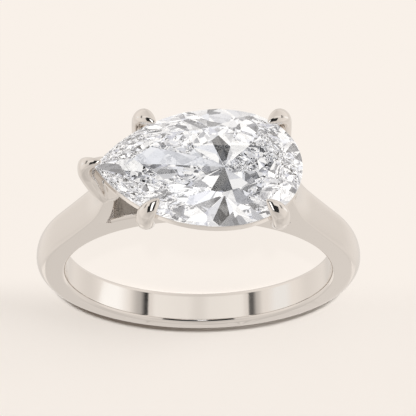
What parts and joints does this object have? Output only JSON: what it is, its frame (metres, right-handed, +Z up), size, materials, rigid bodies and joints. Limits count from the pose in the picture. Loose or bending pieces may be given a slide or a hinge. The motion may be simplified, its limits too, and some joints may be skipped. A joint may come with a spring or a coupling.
{
  "type": "east west pear solitaire ring",
  "caption": "White gold finger ring with a cathedral band and a pear cut clear stone set crossways in claw prongs, lying on its side.",
  "frame": {"origin": "on the surface that the ring lies on, under the middle of its bounding box", "axes": "+Z up from the surface, -Y towards the stone, +Y towards the lower end of the band, +X towards the point of the stone; the hole of the ring leans about 6.5 degrees from +Z towards +Y"},
  "size_m": [0.0202, 0.0243, 0.0072],
  "materials": {
    "white_gold": "polished white gold",
    "clear_stone": "faceted and polished, colourless"
  },
  "bodies": {
    "root": {"ring_mounting": "white_gold", "pear_stone": "clear_stone"}
  },
  "joints": []
}
